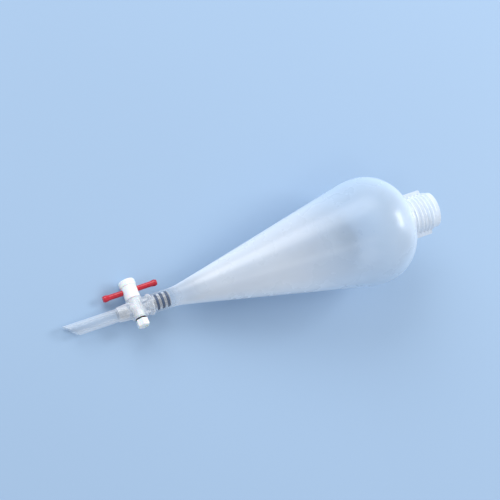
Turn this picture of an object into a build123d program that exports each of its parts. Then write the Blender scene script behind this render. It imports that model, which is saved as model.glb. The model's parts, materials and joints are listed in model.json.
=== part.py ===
from build123d import *
import os
from math import cos, pi, radians, sin, sqrt, tan

# Dropping funnel of 1000 ml, lying on its side.
#
# A pear-shaped polypropylene vessel has a threaded filling neck at its wide end and a plain
# outlet sleeve at its narrow end. A clear moulded stopcock plugs into the sleeve on a spigot
# sealed by three O-rings. A tapered PTFE key with a red cross handle turns in the stopcock's
# barrel, drawn tight by a washer, an O-ring and a hexagonal nut on its threaded end. A clear
# delivery stem with a bevelled tip is held in the stopcock's outlet socket.
#
# Everything is drawn upright first: +Z runs up the funnel's axis to the filling neck, the key
# lies along +Y with its head at +Y, and the origin is where the two axes cross. The last
# section lays the finished funnel down on the surface Z = 0, where it touches with the vessel,
# the stem's tip and the key's head. All sizes are in millimetres and degrees.

# ---- Driving dimensions: vessel -------------------------------------------------------------
bulb_radius = 56.0          # widest outer radius
side_arc_radius = 84.0      # profile arc from the widest ring down to the cone
shoulder_arc_radius = 44.0  # profile arc from the widest ring up to the shoulder
shoulder_turn = 69.0        # how far the shoulder arc turns before it runs straight to the neck
cone_half_angle = 12.8
vessel_wall = 1.6
sleeve_radius = 9.5         # outer radius of the outlet sleeve
sleeve_blend_radius = 60.0  # profile arc from the sleeve into the cone

# ---- Driving dimensions: filling neck -------------------------------------------------------
neck_radius = 18.4          # outside, at the root of the thread
neck_wall = 2.2
neck_length = 30.5          # from the shoulder to the rim
neck_root_fillet = 3.0
neck_bead_section = 1.1     # radius of the bead's round section, below the thread
neck_bead_height = 0.8      # how far the bead stands out of the neck
neck_bead_place = 3.6       # from the foot of the neck to the middle of the bead
rim_round = 0.9
neck_thread_height = 1.35
neck_thread_pitch = 4.0
neck_thread_turns = 4.6
neck_thread_from_rim = 5.2  # the rim to the middle of the last turn
neck_thread_foot = 2.7      # width of the ridge at the neck wall
neck_thread_crest = 1.1
lug_height = 5.2            # how far the lugs stand out of the neck
lug_width = 5.0
lug_from_rim = 9.0
lug_chamfer = 1.0
lug_clocking = 20.0         # mould parting line, from the key's head round the funnel's axis

# ---- Driving dimensions: stopcock body ------------------------------------------------------
barrel_wall = 2.35          # over the tapered seat, at the funnel's axis
barrel_head_overhang = 1.9  # beyond the socket, to the end under the key's head
barrel_nut_overhang = 0.9   # beyond the socket, to the end that the nut pulls against
barrel_round = 0.6
taper_radius = 5.9          # of the tapered seat, at the funnel's axis
taper_per_mm = 0.05         # growth of the seat's radius along the key: a 1 in 10 taper
inlet_arm_radius = 6.5
flange_overhang = 1.3       # of the flange beyond the sleeve
flange_thickness = 4.5
flange_round = 1.9
flange_height = 11.0        # from the key's axis to the flange's lower face
gusset_count = 8
gusset_thickness = 1.2
gusset_inset = 1.2          # of the gussets from the flange's edge
socket_wall = 1.0           # beyond the stem, at the socket's mouth
socket_draft = 1.1          # growth of the socket's radius up to the key's axis
socket_end = 20.0           # below the key's axis
socket_depth = 10.0
port_radius = 2.5           # passage through the barrel's wall
spigot_wall = 1.5           # under the O-ring grooves

# ---- Driving dimensions: spigot O-rings -----------------------------------------------------
ring_count = 3
ring_pitch = 5.5
first_ring = 4.3            # above the flange
ring_height = 2.6           # squeezed section, along the funnel's axis
ring_groove_depth = 2.0
ring_groove_slack = 0.2     # room in the groove beside the ring
spigot_end_land = 2.5       # above the middle of the last ring
spigot_chamfer = 0.5

# ---- Driving dimensions: delivery stem ------------------------------------------------------
stem_radius = 6.5
stem_wall = 1.5
stem_seat_step = 0.2        # the end that is held in the socket is narrower by this
stem_length = 65.0          # from the end inside the socket to the point of the bevel
stem_bevel = 47.0           # from square across
stem_clocking = 15.0        # the bevel's point, from the key's head round the funnel's axis

# ---- Driving dimensions: key, handle, tension parts -----------------------------------------
key_bore_radius = 2.0
head_overhang = 1.275       # of the key's head beyond the seat's wide end
head_length = 20.0          # over the cap
cap_overhang = 0.65         # of the cap beyond the head
cap_length = 6.6
cap_round = 1.5
head_step_round = 0.6
handle_rise = 9.25          # from the head's near end to the handle's axis
handle_radius = 2.75
handle_length = 56.0
knob_swell = 0.6            # of the handle's ends beyond its radius
knob_length = 6.5
stud_radius = 4.0
stud_thread_depth = 0.7
stud_flat_depth = 0.6       # each of the stud's two flats is cut this deep
stud_pitch = 1.5
stud_thread_foot = 0.75     # width of the ridge at the stud's core
stud_thread_crest = 0.35
washer_width = 1.7          # of the washer beyond the stud
washer_thickness = 0.8
tension_ring_section = 1.6
nut_across_flats = 11.0
nut_length = 7.4
nut_corner_round = 0.9
nut_chamfer = 0.9
stud_recess = 0.5           # the stud ends this far inside the nut

# ---- Clearances -----------------------------------------------------------------------------
ring_clearance = 0.04       # squeezed ring to sleeve and groove
spigot_clearance = 0.2      # spigot to sleeve
seat_gap = 0.2              # flange to sleeve end
taper_clearance = 0.03      # key to barrel, square to the surface
head_gap = 0.25             # key's head to barrel
stack_gap = 0.05            # between barrel, washer, O-ring and nut
stem_clearance = 0.05       # stem to socket
handle_clearance = 0.03     # handle to its hole
thread_clearance = 0.12     # nut thread to stud thread
washer_clearance = 0.12     # washer hole to stud

# ---- Sizes that follow ----------------------------------------------------------------------
neck_bore_radius = neck_radius - neck_wall
lug_radius = neck_radius + lug_height
barrel_radius = taper_radius + barrel_wall
flange_radius = sleeve_radius + flange_overhang
gusset_radius = flange_radius - gusset_inset
stem_bore_radius = stem_radius - stem_wall
stem_seat_radius = stem_radius - stem_seat_step
socket_end_radius = stem_radius + socket_wall
socket_root_radius = socket_end_radius + socket_draft
barrel_head_end = socket_root_radius + barrel_head_overhang
barrel_nut_end = socket_root_radius + barrel_nut_overhang
head_radius = taper_radius + taper_per_mm * barrel_head_end + head_overhang
cap_radius = head_radius + cap_overhang
knob_radius = handle_radius + knob_swell
stud_core_radius = stud_radius - stud_thread_depth
stud_flat = stud_radius - stud_flat_depth
washer_radius = stud_radius + washer_width

sleeve_bore_radius = sleeve_radius - vessel_wall
flange_top = flange_height + flange_thickness
sleeve_end = flange_top + seat_gap
ring_heights = [flange_top + first_ring + i * ring_pitch for i in range(ring_count)]
spigot_top = ring_heights[-1] + spigot_end_land
spigot_radius = sleeve_bore_radius - spigot_clearance
groove_radius = sleeve_bore_radius - ring_groove_depth
spigot_bore_radius = groove_radius - spigot_wall

cone = radians(cone_half_angle)
blend_reach = sleeve_blend_radius * tan(cone / 2)
blend_start = spigot_top + spigot_clearance
cone_foot = blend_start + blend_reach            # where the cone's line meets the sleeve
cone_top_radius = bulb_radius - side_arc_radius * (1 - cos(cone))
bulb_height = (
    cone_foot
    + (cone_top_radius - sleeve_radius) / tan(cone)
    + side_arc_radius * sin(cone)
)
shoulder = radians(shoulder_turn)
shoulder_edge_radius = bulb_radius - shoulder_arc_radius * (1 - cos(shoulder))
shoulder_edge_height = bulb_height + shoulder_arc_radius * sin(shoulder)
neck_foot = shoulder_edge_height + (shoulder_edge_radius - neck_radius) / tan(shoulder)
rim_height = neck_foot + neck_length

stem_top = -(socket_end - socket_depth) - stem_clearance
stem_tip = stem_top - stem_length
head_start = barrel_head_end + head_gap
head_end = head_start + head_length
handle_height = head_start + handle_rise
washer_start = -barrel_nut_end - stack_gap
tension_ring_start = washer_start - washer_thickness - stack_gap
nut_start = tension_ring_start - tension_ring_section - stack_gap
nut_end = nut_start - nut_length
stud_end = nut_end + stud_recess
taper_small_end = -barrel_nut_end + 3 * stack_gap


# ---- Helpers --------------------------------------------------------------------------------
def turned(*outline):
    """Solid of revolution about Z of the closed outline of (radius, height) points."""
    return revolve(Plane.XZ * make_face(Polyline(*outline, close=True)), Axis.Z)


def tube(outer, inner, low, high):
    """Hollow cylinder about Z between two heights."""
    return turned((inner, low), (outer, low), (outer, high), (inner, high))


def rod(radius, low, high):
    """Cylinder about Z between two heights."""
    return Pos(0, 0, low) * Cylinder(radius, high - low, align=(Align.CENTER, Align.CENTER, Align.MIN))


def ring(inner, outer, low, high):
    """O-ring about Z, squeezed to the room between two radii and two heights."""
    width = outer - inner
    height = high - low
    corner = 0.48 * min(width, height)
    section = Pos((inner + outer) / 2, (low + high) / 2) * RectangleRounded(width, height, corner)
    return revolve(Plane.XZ * section, Axis.Z)


def thread_ridge(root, crest, foot_width, crest_width, pitch, low, high):
    """Helical ridge about Z from low to high, right-handed, with its foot at the root radius."""
    path = Helix(pitch=pitch, height=high - low, radius=root).moved(Pos(0, 0, low))
    outline = Polyline(
        (0, -foot_width / 2), (crest - root, -crest_width / 2),
        (crest - root, crest_width / 2), (0, foot_width / 2), close=True)
    start = Plane(origin=path @ 0, x_dir=(1, 0, 0), z_dir=(0, -1, 0))
    return sweep(start * make_face(outline), path=path, is_frenet=True)


def slab(half_width, low, high, reach=20.0):
    """Block about Z between two flats that face +X and -X."""
    return Pos(0, 0, (low + high) / 2) * Box(2 * half_width, 2 * reach, high - low)


def along_key(shape):
    """Moves a shape that was drawn about Z onto the key's axis, +Z towards the head."""
    return Rot(-90, 0, 0) * shape


# ---- Vessel ---------------------------------------------------------------------------------
def vessel_profile(inset, neck_wall_radius, low, high, neck_fillet):
    """Half section of the pear shape, filled to the axis, inset from the outer surface."""
    sleeve = sleeve_radius - inset
    blend_centre = (sleeve_radius + sleeve_blend_radius, blend_start)
    side_centre = (bulb_radius - side_arc_radius, bulb_height)
    shoulder_centre = (bulb_radius - shoulder_arc_radius, bulb_height)
    blend = CenterArc(blend_centre, sleeve_blend_radius + inset, 180, -cone_half_angle)
    side = CenterArc(side_centre, side_arc_radius - inset, -cone_half_angle, cone_half_angle)
    top = CenterArc(shoulder_centre, shoulder_arc_radius - inset, 0, shoulder_turn)
    edge = top @ 1
    foot = (neck_wall_radius, edge.Y + (edge.X - neck_wall_radius) / tan(shoulder))
    lines = [
        Line((0, low), (sleeve, low)),
        Line((sleeve, low), blend @ 0),
        blend,
        Line(blend @ 1, side @ 0),
        side,
        top,
        Line(edge, foot),
        Line(foot, (neck_wall_radius, high)),
        Line((neck_wall_radius, high), (0, high)),
        Line((0, high), (0, low)),
    ]
    face = make_face(lines)
    corner = face.vertices().sort_by_distance(Vector(*foot))[0]
    return fillet(corner, neck_fillet)


def make_vessel():
    overrun = 5.0
    outside = vessel_profile(0, neck_radius, sleeve_end, rim_height, neck_root_fillet)
    outside = revolve(Plane.XZ * outside, Axis.Z)
    cavity = vessel_profile(
        vessel_wall, neck_bore_radius, sleeve_end - overrun, rim_height + overrun, neck_root_fillet)
    cavity = revolve(Plane.XZ * cavity, Axis.Z)
    rim_edge = outside.edges().group_by(Axis.Z)[-1]
    outside = fillet(rim_edge, rim_round)

    thread_top = rim_height - neck_thread_from_rim
    thread_low = thread_top - neck_thread_turns * neck_thread_pitch
    bite = 0.3                                   # the ridge is rooted this deep in the neck
    ridge = thread_ridge(
        neck_radius - bite, neck_radius + neck_thread_height,
        neck_thread_foot, neck_thread_crest, neck_thread_pitch, thread_low, thread_top)

    lug_low = shoulder_edge_height
    lug_high = rim_height - lug_from_rim
    lug_block = Box(
        2 * lug_radius, lug_width, lug_high - lug_low, align=(Align.CENTER, Align.CENTER, Align.MIN))
    lug_block = Pos(0, 0, lug_low) * lug_block
    lug_block = chamfer(lug_block.edges().filter_by(Axis.Y).group_by(Axis.Z)[-1], lug_chamfer)
    lugs = Rot(0, 0, 90 + lug_clocking) * lug_block

    bead = Pos(0, 0, neck_foot + neck_bead_place) * Torus(
        neck_radius + neck_bead_height - neck_bead_section, neck_bead_section)

    solid = outside + lugs + bead
    solid = solid + ridge
    solid = solid - cavity
    return solid


# ---- Stopcock body --------------------------------------------------------------------------
def make_stopcock_body():
    barrel = along_key(rod(barrel_radius, -barrel_nut_end, barrel_head_end))
    barrel = fillet(barrel.edges().filter_by(GeomType.CIRCLE), barrel_round)
    inlet = rod(inlet_arm_radius, 0, flange_top)
    flange = rod(flange_radius, flange_height, flange_top)
    flange = fillet(flange.edges().filter_by(GeomType.CIRCLE), flange_round)
    spigot = rod(spigot_radius, flange_height, spigot_top)
    spigot = chamfer(spigot.edges().group_by(Axis.Z)[-1], spigot_chamfer)
    half_height = ring_height / 2 + ring_groove_slack
    for height in ring_heights:
        spigot -= tube(2 * spigot_radius, groove_radius, height - half_height, height + half_height)
    bite = 0.5                                   # the gussets are rooted this deep in the flange
    gusset = Pos(0, 0, flange_height / 2) * Box(
        gusset_radius, gusset_thickness, flange_height / 2 + bite,
        align=(Align.MIN, Align.CENTER, Align.MIN))
    socket = turned(
        (0, 0), (socket_root_radius, 0), (socket_root_radius, -barrel_radius),
        (socket_end_radius, -socket_end), (0, -socket_end))

    body = barrel + inlet + flange + socket
    for i in range(gusset_count):
        body += Rot(0, 0, (i + 0.5) * 360 / gusset_count) * gusset
    body += spigot

    overrun = 1.0
    seat_low = -barrel_nut_end - overrun
    seat_high = barrel_head_end + overrun
    seat = turned(
        (0, seat_low), (taper_radius + taper_per_mm * seat_low, seat_low),
        (taper_radius + taper_per_mm * seat_high, seat_high), (0, seat_high))
    body -= along_key(seat)
    body -= rod(port_radius, -socket_end, flange_height)
    body -= rod(spigot_bore_radius, flange_height, spigot_top + overrun)
    body -= rod(
        stem_seat_radius + stem_clearance, -socket_end - overrun, -(socket_end - socket_depth))
    return body


def make_spigot_ring(height):
    return ring(
        groove_radius + ring_clearance, sleeve_bore_radius - ring_clearance,
        height - ring_height / 2, height + ring_height / 2)


# ---- Delivery stem --------------------------------------------------------------------------
def make_stem():
    shoulder_height = -socket_end - stem_clearance
    stem = turned(
        (stem_bore_radius, stem_tip), (stem_radius, stem_tip), (stem_radius, shoulder_height),
        (stem_seat_radius, shoulder_height), (stem_seat_radius, stem_top),
        (stem_bore_radius, stem_top))
    reach = 4 * stem_radius
    # The cutting plane passes through the bevel's point and rises across the tube.
    cutter = Pos(stem_radius, 0, stem_tip) * Rot(0, stem_bevel, 0) * Box(
        2 * reach, reach, reach, align=(Align.CENTER, Align.CENTER, Align.MAX))
    return stem - Rot(0, 0, 90 + stem_clocking) * cutter


# ---- Key and handle -------------------------------------------------------------------------
def make_key():
    inset = taper_clearance
    taper_low = taper_small_end
    taper_high = head_start
    taper = turned(
        (0, taper_low), (taper_radius + taper_per_mm * taper_low - inset, taper_low),
        (taper_radius + taper_per_mm * taper_high - inset, taper_high), (0, taper_high))
    cap_start = head_end - cap_length
    head = rod(head_radius, head_start, cap_start)
    head = fillet(head.edges().group_by(Axis.Z)[0], head_step_round)
    cap = rod(cap_radius, cap_start, head_end)
    cap = fillet(cap.edges().group_by(Axis.Z)[-1], cap_round)
    cap = fillet(cap.edges().group_by(Axis.Z)[0], head_step_round)

    thread_start = nut_start + stud_pitch
    shank = rod(stud_radius, thread_start, taper_low)
    core = rod(stud_core_radius, stud_end, thread_start)
    core = chamfer(core.edges().group_by(Axis.Z)[0], stud_thread_crest)
    bite = 0.2                                   # the ridge is rooted this deep in the core
    root = stud_core_radius - bite
    ridge = thread_ridge(
        root, stud_radius, stud_ridge_width(root), stud_thread_crest,
        stud_pitch, nut_end + stud_pitch, thread_start)
    stud = (core + ridge + shank) & slab(stud_flat, nut_end, taper_low)

    key = taper + head + cap + stud
    key -= Rot(90, 0, 0) * Cylinder(key_bore_radius, 4 * taper_radius)
    hole = Cylinder(handle_radius + handle_clearance, 4 * head_radius)
    key -= Pos(0, 0, handle_height) * Rot(90, 0, 0) * hole
    return along_key(key)


def make_handle():
    half = handle_length / 2
    grip = rod(handle_radius, -half, half)
    for side in (1, -1):
        swell = turned(
            (0, half), (knob_radius, half), (knob_radius, half - knob_length / 2),
            (handle_radius, half - knob_length), (0, half - knob_length))
        swell = fillet(swell.edges().group_by(Axis.Z)[-1], 0.6 * knob_radius)
        grip += Rot(0 if side > 0 else 180, 0, 0) * swell
    return Pos(0, handle_height, 0) * grip


# ---- Washer, O-ring and nut that draw the key tight -----------------------------------------
def make_washer():
    low = washer_start - washer_thickness
    hole = rod(stud_radius + washer_clearance, low - 1, washer_start + 1)
    hole &= slab(stud_flat + washer_clearance, low - 1, washer_start + 1)
    return along_key(rod(washer_radius, low, washer_start) - hole)


def make_tension_ring():
    inner = stud_radius + washer_clearance
    return along_key(ring(
        inner, inner + tension_ring_section, tension_ring_start - tension_ring_section, tension_ring_start))


def stud_ridge_width(radius):
    """Axial width of the stud's thread ridge at a radius."""
    slope = (stud_thread_foot - stud_thread_crest) / (stud_radius - stud_core_radius)
    return stud_thread_foot - slope * (radius - stud_core_radius)


def make_nut():
    hexagon = extrude(RegularPolygon(nut_across_flats / 2, 6, major_radius=False), nut_length)
    nut = Pos(0, 0, nut_end) * hexagon
    nut = fillet(nut.edges().filter_by(Axis.Z), nut_corner_round)
    nut = chamfer(nut.edges().group_by(Axis.Z)[0], nut_chamfer)
    bore_radius = stud_radius + thread_clearance
    nut -= rod(bore_radius, nut_end - stud_pitch, nut_start + stud_pitch)

    bite = 0.2                                   # the ridge is rooted this deep in the nut
    root = bore_radius + bite
    crest = stud_core_radius + thread_clearance
    room = stud_pitch - 2 * thread_clearance
    # Half a pitch from the stud's ridge, the nut's ridge runs in the middle of the stud's groove.
    nut += thread_ridge(
        root, crest, room - stud_ridge_width(root), room - stud_ridge_width(crest),
        stud_pitch, nut_end + stud_pitch / 2, nut_start - stud_pitch)
    return along_key(nut)


# ---- Lying down -----------------------------------------------------------------------------
def lowest_points(pitch_up, head_down):
    """Height of the lowest point of vessel, stem tip and key head in the lying attitude."""
    level = cos(pitch_up)
    climb = sin(pitch_up)
    vessel = bulb_height * climb - (bulb_radius - side_arc_radius) * level - side_arc_radius
    stem = min(
        tip_point_height(2 * pi * i / 720, pitch_up, head_down) for i in range(720))
    across = sqrt((cos(head_down) * level) ** 2 + climb ** 2)
    head = (
        -(head_end - cap_round) * sin(head_down) * level
        - (cap_radius - cap_round) * across
        - cap_round
    )
    return vessel, stem, head


def tip_point_height(angle, pitch_up, head_down):
    """Height of one point of the bevelled tip's outer edge in the lying attitude."""
    point_angle = pi / 2 + radians(stem_clocking)
    x = stem_radius * cos(angle)
    y = stem_radius * sin(angle)
    z = stem_tip + stem_radius * (1 - cos(angle - point_angle)) * tan(radians(stem_bevel))
    return -(x * cos(head_down) + y * sin(head_down)) * cos(pitch_up) + z * sin(pitch_up)


def halve(low, high, gap):
    """Root of a function that falls from positive to negative between low and high."""
    for _ in range(50):
        middle = (low + high) / 2
        if gap(middle) > 0:
            low = middle
        else:
            high = middle
    return (low + high) / 2


def lying_attitude():
    """Pitch of the axis and roll of the key's head at which all three touch one plane."""
    pitch_up = radians(8)
    head_down = radians(15)
    for _ in range(30):
        pitch_up = halve(
            0, radians(30), lambda a: lowest_points(a, head_down)[1] - lowest_points(a, head_down)[0])
        head_down = halve(
            0, radians(60), lambda a: lowest_points(pitch_up, a)[2] - lowest_points(pitch_up, a)[0])
    return pitch_up, head_down


pitch_up, head_down = lying_attitude()
floor_height = lowest_points(pitch_up, head_down)[0]
turn_over = Rot(0, 90 - pitch_up * 180 / pi, 0) * Rot(0, 0, -head_down * 180 / pi)

ring_names = ["lower", "middle", "upper"] + [f"extra_{i}" for i in range(ring_count)]
upright = {
    "vessel": make_vessel(),
    "stopcock_body": make_stopcock_body(),
    "delivery_stem": make_stem(),
    "key": make_key(),
    "handle_rod": make_handle(),
    "key_washer": make_washer(),
    "tension_o_ring": make_tension_ring(),
    "tension_nut": make_nut(),
}
for name, height in zip(ring_names, ring_heights):
    upright[f"spigot_o_ring_{name}"] = make_spigot_ring(height)

turned_over = {name: turn_over * shape for name, shape in upright.items()}
box = Compound(children=list(turned_over.values())).bounding_box()
lay_down = Pos(-box.center().X, -box.center().Y, -floor_height) * turn_over

os.makedirs("parts", exist_ok=True)
for name, shape in upright.items():
    solids = (lay_down * shape).solids()
    piece = solids[0] if len(solids) == 1 else Compound(children=solids)
    piece.label = name
    export_step(piece, f"parts/{name}.step")
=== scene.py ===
import json
import math

import bpy
from mathutils import Matrix, Vector


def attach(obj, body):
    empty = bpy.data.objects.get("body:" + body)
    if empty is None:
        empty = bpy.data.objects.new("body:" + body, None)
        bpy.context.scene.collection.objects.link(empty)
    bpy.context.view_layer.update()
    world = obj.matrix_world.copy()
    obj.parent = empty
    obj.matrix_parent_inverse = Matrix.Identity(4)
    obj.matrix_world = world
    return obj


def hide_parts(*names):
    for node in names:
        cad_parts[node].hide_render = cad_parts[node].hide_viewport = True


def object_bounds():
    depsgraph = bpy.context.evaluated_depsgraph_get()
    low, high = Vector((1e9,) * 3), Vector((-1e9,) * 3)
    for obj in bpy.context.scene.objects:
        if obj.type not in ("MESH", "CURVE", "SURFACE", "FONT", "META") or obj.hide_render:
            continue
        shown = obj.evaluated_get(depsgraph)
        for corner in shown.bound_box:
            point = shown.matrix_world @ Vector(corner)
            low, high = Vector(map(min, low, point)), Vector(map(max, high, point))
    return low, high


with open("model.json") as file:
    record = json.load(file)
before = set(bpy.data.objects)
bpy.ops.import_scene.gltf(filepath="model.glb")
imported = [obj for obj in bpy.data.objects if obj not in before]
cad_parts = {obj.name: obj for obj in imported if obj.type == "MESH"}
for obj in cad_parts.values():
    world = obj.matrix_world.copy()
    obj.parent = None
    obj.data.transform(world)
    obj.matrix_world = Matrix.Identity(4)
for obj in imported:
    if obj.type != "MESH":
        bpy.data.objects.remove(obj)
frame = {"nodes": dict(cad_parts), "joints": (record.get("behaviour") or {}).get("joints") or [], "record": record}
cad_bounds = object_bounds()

# A translucent dropping funnel lies on a pale floor, its delivery stem towards the camera's left.
# Lengths are in metres in the row frame. Pieces that are modelled here are drawn upright, with
# +Z up the funnel's axis and +Y along the key towards its head, and laid down by FUNNEL.

JOINTS = {joint["name"]: joint for joint in frame["joints"]}
FUNNEL_AXIS = Vector(JOINTS["stopcock_swivel"]["axis"]).normalized()
KEY_AXIS = Vector(JOINTS["key_turn"]["axis"]).normalized()
KEY_CENTRE = Vector(JOINTS["key_turn"]["pos_m"])
SIDE_AXIS = KEY_AXIS.cross(FUNNEL_AXIS)
FUNNEL = Matrix.Translation(KEY_CENTRE)
FUNNEL @= Matrix((SIDE_AXIS, KEY_AXIS, FUNNEL_AXIS)).transposed().to_4x4()


# ---- Vessel's sizes -------------------------------------------------------------------------
# In millimetres and degrees. Heights are along the funnel's axis, from the key's axis.
MM = 0.001
SLEEVE_RADIUS = 9.5
SLEEVE_END = 15.7
SLEEVE_EDGE_ROUND = 0.3
BLEND_RADIUS = 60.0
BLEND_START = 33.5
CONE_ANGLE = 12.8
SIDE_RADIUS = 84.0
BULB_RADIUS = 56.0
BULB_HEIGHT = 254.3227
SHOULDER_RADIUS = 44.0
SHOULDER_TURN = 69.0
VESSEL_WALL = 1.6
NECK_RADIUS = 18.4
NECK_BORE_RADIUS = 16.2
NECK_FILLET = 3.0
RIM = 329.4963
RIM_ROUND = 0.9
RIM_INNER_ROUND = 0.35

THREAD_PITCH = 4.0
THREAD_TURNS = 4.6
THREAD_HEIGHT = 1.35
THREAD_TOP = RIM - 5.2          # middle of the last turn
THREAD_FOOT = 2.7
THREAD_CREST = 1.1
THREAD_EASE = 0.15              # by which each flank is drawn out at its foot and crest
THREAD_RUNOUT = 0.1             # turns over which the ridge rises at each end
BEAD_HEIGHT = 0.8
BEAD_MIDDLE = 302.6
BEAD_HALF_WIDTH = 1.25

LUG_RADIUS = 23.6
LUG_HALF_WIDTH = 2.5
LUG_TOP = RIM - 9.0
LUG_ANGLE = 110.0               # of one lug, from the stopcock's side axis; the other is opposite
LUG_REACH = 3.6                 # half of the width over which columns follow a lug
NECK_FOOT = 301.0
SHOULDER_EDGE = 295.4           # where the shoulder's arc ends
BLOWN_START = 45.0              # the wall's relief fades in above this height
BLOWN_FADE_IN = 30.0
BLOWN_END = 297.0               # and is gone at this one
BLOWN_FADE_OUT = 12.0
WAVE_DEPTH = 0.15
PARTING_HEIGHT = 0.05
PARTING_HALF_WIDTH = 0.9
# Waves of the wall: lobes round the axis, height for one radian, phase in radians, weight.
WAVES = [(2, 31.0, 0.7, 1.0), (3, -23.0, 2.1, 1.0), (5, 17.0, 0.0, 0.6), (0, 11.0, 1.3, 0.5)]

ROW_STEP = 3.2
SHOULDER_ROW_STEP = 0.4
NECK_ROW_STEP = 0.2
FILLET_STEP = 6.8               # degrees round the neck's root fillet
RIM_STEP = 11.25                # degrees round each small edge
RIM_INNER_STEP = 22.5
SLEEVE_EDGE_STEP = 30.0
COLUMN_STEP = 1.25              # degrees round the axis
INSIDE_SLOT = 1                 # material slot of the inner faces

# Across a lug: distance from its middle plane, and share of its full height there.
LUG_COLUMNS = [
    (0.0, 1.0), (0.08, 1.0), (0.2, 1.0), (0.6, 1.0), (1.2, 1.0), (1.8, 1.0), (2.15, 0.985),
    (2.4, 0.94), (LUG_HALF_WIDTH, 0.86), (2.52, 0.3), (2.62, 0.1), (2.9, 0.025), (LUG_REACH, 0.0)]
# Up a lug: height below its top, and its radius there.
LUG_EDGE = [
    (1.3, LUG_RADIUS), (0.9, 23.5), (0.45, 23.2), (0.15, 22.7), (0.04, 22.1), (0.0, 21.4),
    (-0.02, 19.0), (-0.1, NECK_RADIUS)]


# ---- Node helpers ---------------------------------------------------------------------------
# Noise seldom leaves this range.
NOISE_LOW = 0.3
NOISE_HIGH = 0.7


def new_material(name):
    """A material of one Principled shader, as (material, node tree, shader)."""
    material = bpy.data.materials.new(name)
    material.use_nodes = True
    tree = material.node_tree
    tree.nodes.clear()
    output = tree.nodes.new("ShaderNodeOutputMaterial")
    shader = tree.nodes.new("ShaderNodeBsdfPrincipled")
    tree.links.new(shader.outputs["BSDF"], output.inputs["Surface"])
    return material, tree, shader


def noise(tree, scale, detail=3.0, stretch=(1.0, 1.0, 1.0)):
    """Noise in the piece's own coordinates; scale is in features per metre."""
    place = tree.nodes.new("ShaderNodeTexCoord")
    mapping = tree.nodes.new("ShaderNodeMapping")
    mapping.inputs["Scale"].default_value = stretch
    texture = tree.nodes.new("ShaderNodeTexNoise")
    texture.inputs["Scale"].default_value = scale
    texture.inputs["Detail"].default_value = detail
    tree.links.new(place.outputs["Object"], mapping.inputs["Vector"])
    tree.links.new(mapping.outputs["Vector"], texture.inputs["Vector"])
    return texture.outputs["Fac"]


def spread(tree, value, low, high, from_low=NOISE_LOW, from_high=NOISE_HIGH):
    """Maps a value, by default one of noise, onto the range from low to high."""
    node = tree.nodes.new("ShaderNodeMapRange")
    node.inputs["From Min"].default_value = from_low
    node.inputs["From Max"].default_value = from_high
    node.inputs["To Min"].default_value = low
    node.inputs["To Max"].default_value = high
    tree.links.new(value, node.inputs["Value"])
    return node.outputs["Result"]


def mixed(tree, share, first, second):
    """Mix of two colours, each a socket or linear values, by a share from 0 to 1."""
    node = tree.nodes.new("ShaderNodeMix")
    node.data_type = "RGBA"
    for socket, colour in ((node.inputs["A"], first), (node.inputs["B"], second)):
        if isinstance(colour, bpy.types.NodeSocket):
            tree.links.new(colour, socket)
        else:
            socket.default_value = (*colour, 1.0)
    tree.links.new(share, node.inputs["Factor"])
    return node.outputs["Result"]


def bump(tree, height, distance):
    """Surface relief from a height value; distance is in metres."""
    node = tree.nodes.new("ShaderNodeBump")
    node.inputs["Distance"].default_value = distance
    node.inputs["Strength"].default_value = 1.0
    tree.links.new(height, node.inputs["Height"])
    return node.outputs["Normal"]


def maths(tree, operation, first, second=None):
    """A Math node on one or two values, each a socket or a number."""
    node = tree.nodes.new("ShaderNodeMath")
    node.operation = operation
    for socket, value in zip(node.inputs, (first, second)):
        if isinstance(value, bpy.types.NodeSocket):
            tree.links.new(value, socket)
        elif value is not None:
            socket.default_value = value
    return node.outputs["Value"]


def ramp(tree, value, stops):
    """A smooth grey ramp through (position, level) stops, levels up to 1."""
    node = tree.nodes.new("ShaderNodeValToRGB")
    node.color_ramp.interpolation = "EASE"
    elements = node.color_ramp.elements
    while len(elements) < len(stops):
        elements.new(0.5)  # its place is set below
    for element, (position, level) in zip(elements, stops):
        element.position = position
        element.color = (level, level, level, 1.0)
    tree.links.new(value, node.inputs["Fac"])
    return node.outputs["Color"]


def along_funnel(tree):
    """Distance along the funnel's axis from the key's axis, in metres."""
    place = tree.nodes.new("ShaderNodeTexCoord")
    dot = tree.nodes.new("ShaderNodeVectorMath")
    dot.operation = "DOT_PRODUCT"
    dot.inputs[1].default_value = FUNNEL_AXIS
    tree.links.new(place.outputs["Object"], dot.inputs[0])
    return maths(tree, "SUBTRACT", dot.outputs["Value"], KEY_CENTRE.dot(FUNNEL_AXIS))


def srgb(red, green, blue):
    """A colour given as 0-255 display values, in the shader's linear values."""
    def linear(value):
        value /= 255
        return value / 12.92 if value <= 0.04045 else ((value + 0.055) / 1.055) ** 2.4
    return linear(red), linear(green), linear(blue)


# ---- Materials ------------------------------------------------------------------------------
GLOSS_TO_MOTTLE = 2.3           # how much finer the gloss varies than the colour
LEAST_FACING = 0.08             # walls seen more edge-on than this cosine count as if at it

MILK = srgb(239, 246, 254)
MILK_SHADE = srgb(230, 240, 253)
# Painted blue in the bulb's belt, standing in for the backdrop seen through the milky wall.
PAINTED_BLUE_MILK = srgb(204, 226, 249)
MILK_LOOK = dict(mottle=14.0, roughness=(0.25, 0.31), grain=60.0, relief=0.000008, IOR=1.49)
# Along the funnel, from the sleeve's end (0) to the rim (1): a face's optical depth, and how far
# the milk takes the painted blue that stands in for the backdrop seen through the wall.
MILK_DEPTH = [
    (0.0, 0.06), (0.05, 0.08), (0.10, 0.36), (0.20, 0.78), (0.70, 0.40), (0.84, 0.46), (0.93, 0.95)]
PAINTED_BLUE_BELT = [(0.45, 0.0), (0.70, 0.9), (0.80, 0.9), (0.93, 0.0)]


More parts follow.
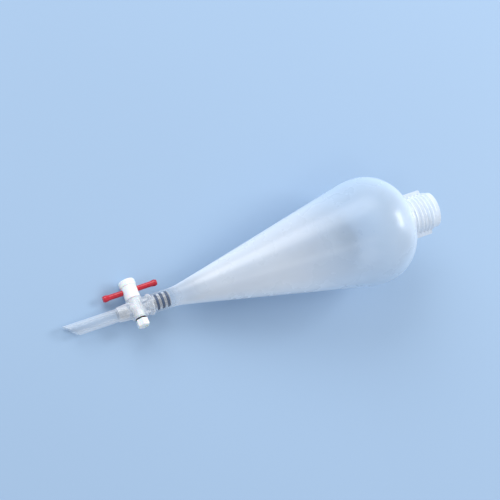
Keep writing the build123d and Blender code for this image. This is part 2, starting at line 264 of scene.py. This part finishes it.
def moulded(name, light, dark, mottle, roughness, grain, relief, **sockets):
    """Moulded plastic: mottled between two colours, uneven gloss and a fine surface relief.

    mottle and grain are in features per metre, roughness is a range and relief is in metres.
    The remaining keywords are the shader's sockets. Gives (material, node tree, shader).
    """
    material, tree, shader = new_material(name)
    share = spread(tree, noise(tree, mottle), 0.0, 1.0)
    tree.links.new(mixed(tree, share, light, dark), shader.inputs["Base Color"])
    uneven = spread(tree, noise(tree, mottle * GLOSS_TO_MOTTLE, detail=4), roughness[0], roughness[1])
    tree.links.new(uneven, shader.inputs["Roughness"])
    tree.links.new(bump(tree, noise(tree, grain, detail=2), relief), shader.inputs["Normal"])
    for socket, value in sockets.items():
        shader.inputs[socket.replace("_", " ")].default_value = value
    return material, tree, shader


def cloudy(tree, shader, depth, slant=1.0):
    """Lets straight light through a cloudy wall, less where it is crossed at a slant.

    depth is the optical depth of one face of the wall, crossed square on. slant is the power
    with which it grows at a slant, more than 1 where the wall is thick beside its radius.
    """
    facing = tree.nodes.new("ShaderNodeLayerWeight")
    facing.inputs["Blend"].default_value = 0.5
    square_on = maths(tree, "SUBTRACT", 1.0, facing.outputs["Facing"])
    slanted = maths(tree, "POWER", maths(tree, "MAXIMUM", square_on, LEAST_FACING), slant)
    crossed = maths(tree, "DIVIDE", depth, slanted)
    passed = maths(tree, "EXPONENT", maths(tree, "MULTIPLY", crossed, -1.0))
    tree.links.new(maths(tree, "SUBTRACT", 1.0, passed), shader.inputs["Alpha"])


def milky_plastic():
    """Blow-moulded polypropylene: cloudiest in the cone and neck, clearer where it is thin, with a painted blue in
    the bulb's belt that stands in for the backdrop seen through the wall.

    The outer faces carry the wall's cloudiness, so that it is counted once.
    """
    material, tree, shader = moulded(
        "milky_plastic", MILK, MILK_SHADE, **MILK_LOOK, Specular_IOR_Level=0.8,
        Coat_Weight=0.45, Coat_Roughness=0.22)
    share = spread(tree, along_funnel(tree), 0.0, 1.0, SLEEVE_END * MM, RIM * MM)
    milk = shader.inputs["Base Color"].links[0].from_socket
    # Painted blue tint in the bulb's belt, standing in for the backdrop seen through the wall.
    painted_blue = ramp(tree, share, PAINTED_BLUE_BELT)
    tree.links.new(mixed(tree, painted_blue, milk, PAINTED_BLUE_MILK), shader.inputs["Base Color"])
    streaks = spread(tree, noise(tree, 22.0, stretch=(0.45, 1.0, 1.0)), 0.90, 1.10)
    depth = maths(tree, "MULTIPLY", ramp(tree, share, MILK_DEPTH), streaks)
    cloudy(tree, shader, depth, slant=1.5)
    return material


def milky_inside():
    """The inner faces of the milky wall: clear, because the outer ones carry its cloudiness."""
    return moulded("milky_inside", MILK, MILK_SHADE, **MILK_LOOK, Alpha=0.0)[0]


def clear_plastic():
    """Injection-moulded stopcock body: frosty clear plastic."""
    material, tree, shader = moulded(
        "clear_plastic", srgb(249, 251, 254), srgb(240, 245, 252),
        mottle=60.0, roughness=(0.14, 0.22), grain=400.0, relief=0.00002,
        IOR=1.49, Specular_IOR_Level=0.9, Coat_Weight=0.5, Coat_Roughness=0.1)
    cloudy(tree, shader, spread(tree, noise(tree, 120.0), 0.20, 0.26), slant=1.6)
    return material


def tube_plastic():
    """Extruded delivery stem: clearer than the body, with faint draw lines."""
    material, tree, shader = moulded(
        "tube_plastic", srgb(249, 252, 255), srgb(240, 247, 254),
        mottle=60.0, roughness=(0.08, 0.14), grain=250.0, relief=0.00002,
        IOR=1.49, Specular_IOR_Level=1.0, Coat_Weight=0.8, Coat_Roughness=0.06)
    draw_lines = noise(tree, 90.0, stretch=(0.2, 1.0, 1.0))
    cloudy(tree, shader, spread(tree, draw_lines, 0.06, 0.08), slant=2.4)
    return material


def white_ptfe():
    return moulded(
        "white_ptfe", srgb(249, 251, 251), srgb(239, 244, 247),
        mottle=120.0, roughness=(0.32, 0.46), grain=900.0, relief=0.00003,
        Subsurface_Weight=0.35, Subsurface_Scale=0.002, IOR=1.38)[0]


def red_plastic():
    return moulded(
        "red_plastic", srgb(206, 34, 54), srgb(184, 24, 46),
        mottle=90.0, roughness=(0.20, 0.30), grain=500.0, relief=0.00003,
        IOR=1.49, Coat_Weight=0.2, Coat_Roughness=0.12)[0]


def dark_seal():
    return moulded(
        "dark_seal", srgb(26, 66, 108), srgb(16, 50, 90),
        mottle=300.0, roughness=(0.45, 0.6), grain=1500.0, relief=0.00003, IOR=1.5)[0]


def black_rubber():
    return moulded(
        "black_rubber", srgb(34, 36, 38), srgb(24, 25, 28),
        mottle=300.0, roughness=(0.4, 0.55), grain=1500.0, relief=0.00003, IOR=1.5)[0]


def dress_cad_nodes():
    """Gives each CAD node the finish of its slot, and returns the finishes by slot."""
    finishes = {
        "milky_plastic": milky_plastic(),
        "milky_inside": milky_inside(),
        "clear_plastic": clear_plastic(),
        "tube_plastic": tube_plastic(),
        "white_ptfe": white_ptfe(),
        "red_plastic": red_plastic(),
        "dark_seal": dark_seal(),
        "black_rubber": black_rubber(),
    }
    for subpart in frame["record"]["subparts"]:
        node = frame["nodes"][subpart["node"]]
        node.data.materials.clear()
        node.data.materials.append(finishes[subpart["material_slot"]])
    return finishes


# ---- Vessel ---------------------------------------------------------------------------------
# Half sections are lists of (radius, height) in millimetres, from the sleeve to the rim.
def smooth(value):
    """Rises smoothly from 0 to 1 as value does."""
    value = min(max(value, 0.0), 1.0)
    return value * value * (3 - 2 * value)


def steps(start, end, step):
    """Evenly spaced numbers from start to end, both included, no further apart than step."""
    count = max(1, math.ceil(abs(end - start) / step))
    return [start + (end - start) * i / count for i in range(count + 1)]


def arc_points(centre, radius, first, last, side=1, step=None):
    """Points at angles in degrees round a centre, side -1 for an arc that is hollow outside."""
    turns = steps(first, last, step or math.degrees(ROW_STEP / radius))
    return [(
        centre[0] + side * radius * math.cos(math.radians(turn)),
        centre[1] + side * radius * math.sin(math.radians(turn))) for turn in turns]


def body_section(inset, neck_radius):
    """The pear shape from the end of the sleeve to the end of the neck's root fillet."""
    sleeve = SLEEVE_RADIUS - inset
    blend_centre = (SLEEVE_RADIUS + BLEND_RADIUS, BLEND_START)
    blend = arc_points(blend_centre, BLEND_RADIUS + inset, 0, -CONE_ANGLE, side=-1)
    side = arc_points(
        (BULB_RADIUS - SIDE_RADIUS, BULB_HEIGHT), SIDE_RADIUS - inset, -CONE_ANGLE, 0)
    top = arc_points(
        (BULB_RADIUS - SHOULDER_RADIUS, BULB_HEIGHT), SHOULDER_RADIUS - inset, 0, SHOULDER_TURN)
    turn = math.radians(SHOULDER_TURN)
    edge = top[-1]
    foot_height = edge[1] + (edge[0] - neck_radius) / math.tan(turn)
    fillet_end = foot_height + NECK_FILLET * math.tan(turn / 2)
    fillet_centre = (neck_radius + NECK_FILLET, fillet_end)
    fillet = arc_points(
        fillet_centre, NECK_FILLET, SHOULDER_TURN, 0, side=-1, step=FILLET_STEP)

    def straight(start, end, step):
        share = steps(0, 1, step / math.dist(start, end))
        return [tuple(a + (b - a) * t for a, b in zip(start, end)) for t in share]

    sections = [
        straight((sleeve, SLEEVE_END + SLEEVE_EDGE_ROUND), blend[0], ROW_STEP), blend,
        straight(blend[-1], side[0], ROW_STEP), side, top,
        straight(edge, fillet[0], SHOULDER_ROW_STEP), fillet]
    joined = []
    for section in sections:
        joined += section if not joined else section[1:]
    return joined


def outer_section():
    """The outer half section up to the rim's edge, with rows for the thread and the lugs."""
    section = body_section(0.0, NECK_RADIUS)
    heights = steps(section[-1][1], RIM - RIM_ROUND, NECK_ROW_STEP)[1:]
    heights += [LUG_TOP - below for below, _ in LUG_EDGE]
    section += [(NECK_RADIUS, height) for height in sorted(heights)]
    return section


def thread_rise(angle, height):
    """How far the neck's thread stands out at an angle in degrees and a height."""
    low = THREAD_TOP - THREAD_TURNS * THREAD_PITCH
    climbed = (height - low) / THREAD_PITCH
    turn = (angle % 360) / 360
    place = min(max(round(climbed - turn) + turn, 0.0), THREAD_TURNS)
    away = abs(climbed - place) * THREAD_PITCH
    slope = (THREAD_FOOT - THREAD_CREST) / 2 + 2 * THREAD_EASE
    flank = smooth((THREAD_FOOT / 2 + THREAD_EASE - away) / slope)
    ends = smooth(min(place, THREAD_TURNS - place) / THREAD_RUNOUT)
    return THREAD_HEIGHT * flank * ends


def bead_rise(height):
    """How far the bead below the thread stands out at a height."""
    return BEAD_HEIGHT * smooth(1 - abs(height - BEAD_MIDDLE) / BEAD_HALF_WIDTH)


def blown_relief(angle, from_parting, height):
    """Relief of the blown wall, never outwards: slight waves, and a ridge on the parting line."""
    turn = math.radians(angle)
    wave = sum(
        weight * math.sin(lobes * turn + height / rise + phase)
        for lobes, rise, phase, weight in WAVES)
    wave /= sum(weight for *_, weight in WAVES)
    fade = smooth((height - BLOWN_START) / BLOWN_FADE_IN)
    fade *= smooth((BLOWN_END - height) / BLOWN_FADE_OUT)
    ridge = smooth(1 - abs(from_parting) / PARTING_HALF_WIDTH)
    return -fade * (WAVE_DEPTH * (wave + 1) / 2 + PARTING_HEIGHT * (1 - ridge))


def lug_radius_at(height):
    """The lug's outer radius at a height, or the neck's above its top."""
    below = LUG_TOP - height
    if height < SHOULDER_EDGE:
        return 0.0
    if below >= LUG_EDGE[0][0]:
        return LUG_RADIUS
    for (far, far_radius), (near, near_radius) in zip(LUG_EDGE, LUG_EDGE[1:]):
        if below >= near:
            return near_radius + (far_radius - near_radius) * (below - near) / (far - near)
    return 0.0


def columns():
    """The mesh's columns round the axis.

    Each is (angle in degrees, distance from the lug's middle plane, share of the lug's height,
    angle of the lug's middle).
    """
    reach = math.degrees(math.asin(LUG_REACH / NECK_RADIUS))
    lug = [(-across, share) for across, share in reversed(LUG_COLUMNS[1:])] + LUG_COLUMNS
    found = []
    for middle in (LUG_ANGLE, LUG_ANGLE + 180):
        for across, share in lug:
            angle = middle + math.degrees(math.asin(across / NECK_RADIUS))
            found.append((angle, across, share, middle))
        between_lugs = steps(middle + reach, middle + 180 - reach, COLUMN_STEP)[1:-1]
        found += [(angle, 0.0, 0.0, middle) for angle in between_lugs]
    return found


def outer_point(column, radius, height):
    """A point of the outer skin, with thread, bead, lugs and the blown wall's relief."""
    angle, across, share, middle = column
    if height > NECK_FOOT:
        radius += max(thread_rise(angle, height), bead_rise(height))
    from_parting = math.radians(angle - middle) * radius
    radius += blown_relief(angle, from_parting, height)
    if share > 0 and radius < lug_radius_at(height):
        on_wall = math.sqrt(radius ** 2 - across ** 2)
        out = on_wall + share * max(lug_radius_at(height) - on_wall, 0.0)
        turn = math.radians(middle)
        return (
            out * math.cos(turn) - across * math.sin(turn),
            out * math.sin(turn) + across * math.cos(turn), height)
    turn = math.radians(angle)
    return radius * math.cos(turn), radius * math.sin(turn), height


def make_vessel():
    """The vessel as one closed skin, its inner faces in a material slot of their own."""
    around = columns()
    outside = outer_section()
    rim_edge = arc_points(
        (NECK_RADIUS - RIM_ROUND, RIM - RIM_ROUND), RIM_ROUND, 0, 90, step=RIM_STEP)[1:]
    rim_inner = arc_points(
        (NECK_BORE_RADIUS + RIM_INNER_ROUND, RIM - RIM_INNER_ROUND), RIM_INNER_ROUND, 90, 180,
        step=RIM_INNER_STEP)
    inside = body_section(VESSEL_WALL, NECK_BORE_RADIUS)
    edge_height = SLEEVE_END + SLEEVE_EDGE_ROUND
    sleeve_inner = arc_points(
        (SLEEVE_RADIUS - VESSEL_WALL + SLEEVE_EDGE_ROUND, edge_height), SLEEVE_EDGE_ROUND, 180, 270,
        step=SLEEVE_EDGE_STEP)
    sleeve_outer = arc_points(
        (SLEEVE_RADIUS - SLEEVE_EDGE_ROUND, edge_height), SLEEVE_EDGE_ROUND, 270, 360,
        step=SLEEVE_EDGE_STEP)[:-1]
    plain = rim_edge + rim_inner + list(reversed(inside)) + sleeve_inner + sleeve_outer

    points = []
    for radius, height in outside:
        points += [outer_point(column, radius, height) for column in around]
    for radius, height in plain:
        for angle, *_ in around:
            turn = math.radians(angle)
            points.append((radius * math.cos(turn), radius * math.sin(turn), height))
    rows = len(outside) + len(plain)
    wide = len(around)
    faces = []
    for row in range(rows):
        above = (row + 1) % rows
        for i in range(wide):
            j = (i + 1) % wide
            faces.append((
                row * wide + i, row * wide + j, above * wide + j, above * wide + i))
    vessel = solid_piece("blown_vessel", points, faces)
    first_inside = (len(outside) + len(rim_edge) + len(rim_inner) - 1) * wide
    after_inside = first_inside + (len(inside) - 1) * wide
    for face in vessel.data.polygons[first_inside:after_inside]:
        face.material_index = INSIDE_SLOT
    return vessel


def solid_piece(name, points, faces):
    """A smooth-shaded mesh from points in millimetres, drawn upright, laid down with the funnel."""
    mesh = bpy.data.meshes.new(name)
    mesh.from_pydata([FUNNEL @ (Vector(point) * MM) for point in points], [], faces)
    mesh.validate()
    mesh.shade_smooth()
    piece = bpy.data.objects.new(name, mesh)
    bpy.context.scene.collection.objects.link(piece)
    return piece


# ---- Stage: floor, light, camera ------------------------------------------------------------
FLOOR_COLOUR = srgb(160, 187, 216)
FLOOR_MOTTLE = 1.03             # how much paler its palest patches are
FLOOR_REACH = 6.0
WORLD_COLOUR = srgb(236, 241, 248)
WORLD_STRENGTH = 0.66


def make_floor():
    """A plain pale sheet under the object."""
    mesh = bpy.data.meshes.new("floor")
    corners = [(x * FLOOR_REACH, y * FLOOR_REACH, 0) for x, y in ((-1, -1), (1, -1), (1, 1), (-1, 1))]
    mesh.from_pydata(corners, [], [(0, 1, 2, 3)])
    floor = bpy.data.objects.new("floor", mesh)
    bpy.context.scene.collection.objects.link(floor)
    material, tree, shader = new_material("floor_paper")
    share = spread(tree, noise(tree, 1.5, detail=2), 0.0, 1.0)
    paler = tuple(channel * FLOOR_MOTTLE for channel in FLOOR_COLOUR)
    tree.links.new(mixed(tree, share, FLOOR_COLOUR, paler), shader.inputs["Base Color"])
    shader.inputs["Roughness"].default_value = 0.7
    floor.data.materials.append(material)


def make_world():
    world = bpy.data.worlds.new("studio")
    bpy.context.scene.world = world
    world.use_nodes = True
    background = world.node_tree.nodes["Background"]
    background.inputs["Color"].default_value = (*WORLD_COLOUR, 1.0)
    background.inputs["Strength"].default_value = WORLD_STRENGTH


def softbox(name, towards, distance, width, height, power):
    """A rectangular lamp of a power in watts, in a direction from the object's middle, facing it."""
    lamp = bpy.data.lights.new(name, "AREA")
    lamp.shape = "RECTANGLE"
    lamp.size = width
    lamp.size_y = height
    lamp.energy = power
    box = bpy.data.objects.new(name, lamp)
    bpy.context.scene.collection.objects.link(box)
    middle = (Vector(cad_bounds[0]) + Vector(cad_bounds[1])) / 2
    direction = Vector(towards).normalized()
    box.location = middle + direction * distance
    box.rotation_mode = "QUATERNION"
    box.rotation_quaternion = direction.to_track_quat("Z", "Y")


def make_lights():
    """A broad key light, a glint on the shoulder by the neck, and a faint one from above."""
    softbox("key_softbox", (-0.16, 0.78, 0.60), distance=2.6, width=2.2, height=1.6, power=41.0)
    softbox("neck_softbox", (0.80, 0.02, 0.60), distance=2.0, width=0.85, height=0.5, power=15.0)
    softbox("top_softbox", (-0.20, -0.38, 0.90), distance=2.4, width=0.44, height=0.55, power=2.5)


CAMERA_AZIMUTH = -86.2
CAMERA_ELEVATION = 64.3
CAMERA_ROLL = 67.7              # of the camera about its view, right side up
CAMERA_DISTANCE = 1.424         # to the widest ring's centre, along the view
BULB_IN_VIEW = (0.1214, 0.0196)  # the widest ring's centre, right of and above the view's middle
LENS_MM = 100.0
SENSOR_MM = 36.0


def make_camera():
    data = bpy.data.cameras.new("camera")
    data.lens = LENS_MM
    data.sensor_width = SENSOR_MM
    camera = bpy.data.objects.new("camera", data)
    bpy.context.scene.collection.objects.link(camera)
    azimuth = math.radians(CAMERA_AZIMUTH)
    elevation = math.radians(CAMERA_ELEVATION)
    back = Vector((
        math.sin(azimuth) * math.cos(elevation),
        -math.cos(azimuth) * math.cos(elevation),
        math.sin(elevation)))
    level = Vector((0, 0, 1)).cross(back).normalized()
    roll = math.radians(CAMERA_ROLL)
    upright = back.cross(level)
    right = level * math.cos(roll) + upright * math.sin(roll)
    up = back.cross(right)
    bulb = KEY_CENTRE + FUNNEL_AXIS * BULB_HEIGHT * MM
    aim = bulb - right * BULB_IN_VIEW[0] - up * BULB_IN_VIEW[1]
    camera.location = aim + back * CAMERA_DISTANCE
    camera.rotation_mode = "QUATERNION"
    camera.rotation_quaternion = Matrix((right, up, back)).transposed().to_quaternion()
    bpy.context.scene.camera = camera


finishes = dress_cad_nodes()
vessel = make_vessel()
vessel.data.materials.append(finishes["milky_plastic"])
vessel.data.materials.append(finishes["milky_inside"])
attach(vessel, "vessel")
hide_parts("vessel")
make_floor()
make_world()
make_lights()
make_camera()
bpy.context.scene.view_settings.view_transform = "Standard"
